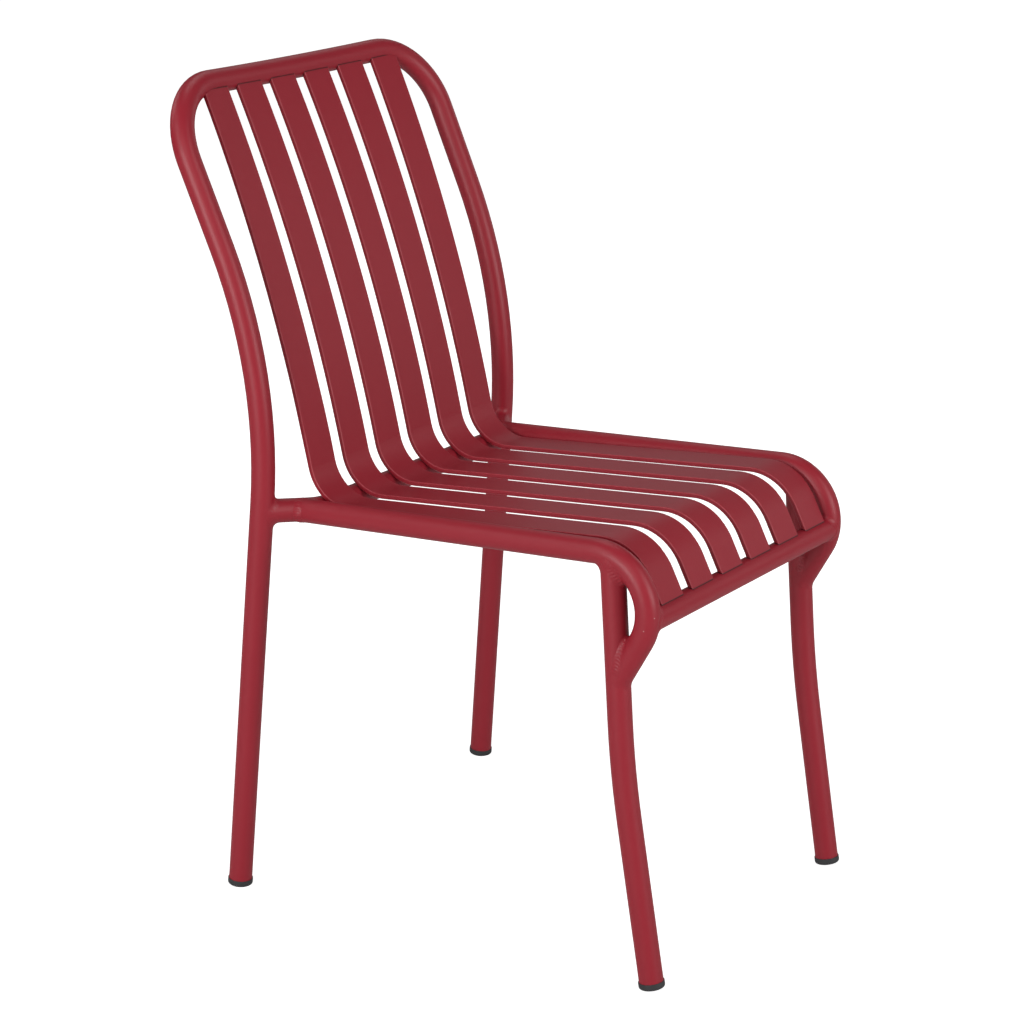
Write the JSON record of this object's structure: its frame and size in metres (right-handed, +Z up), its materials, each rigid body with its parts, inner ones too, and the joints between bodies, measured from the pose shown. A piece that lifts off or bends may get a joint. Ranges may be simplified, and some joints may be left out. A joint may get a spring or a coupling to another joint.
{
  "type": "garden chair",
  "caption": "Armless welded aluminium garden chair: a bent round-tube frame with flat slats running from the top rail down the back and over the seat's front edge.",
  "frame": {"origin": "on the floor, under the middle of the chair's width and depth", "axes": "+Z up, -Y the way the sitter faces, +X to the sitter's left"},
  "size_m": [0.4766, 0.6082, 0.8592],
  "materials": {
    "frame_paint": "satin dark red powder coat",
    "weld_paint": "dark red powder coat over weld beads",
    "glide_plastic": "matt black plastic"
  },
  "bodies": {
    "root": {"back_hoop": "frame_paint", "rear_cross": "frame_paint", "side_rail_left": "frame_paint", "side_rail_right": "frame_paint", "front_leg_left": "frame_paint", "front_leg_right": "frame_paint", "front_cross": "frame_paint", "slat_1": "frame_paint", "slat_2": "frame_paint", "slat_3": "frame_paint", "slat_4": "frame_paint", "slat_5": "frame_paint", "slat_6": "frame_paint", "weld_hoop_left": "weld_paint", "weld_hoop_right": "weld_paint", "weld_rail_left": "weld_paint", "weld_rail_right": "weld_paint", "weld_leg_left": "weld_paint", "weld_leg_right": "weld_paint", "weld_curl_left": "weld_paint", "weld_curl_right": "weld_paint", "weld_front_left": "weld_paint", "weld_front_right": "weld_paint", "glide_front_left": "glide_plastic", "glide_front_right": "glide_plastic", "glide_rear_left": "glide_plastic", "glide_rear_right": "glide_plastic"}
  },
  "joints": []
}
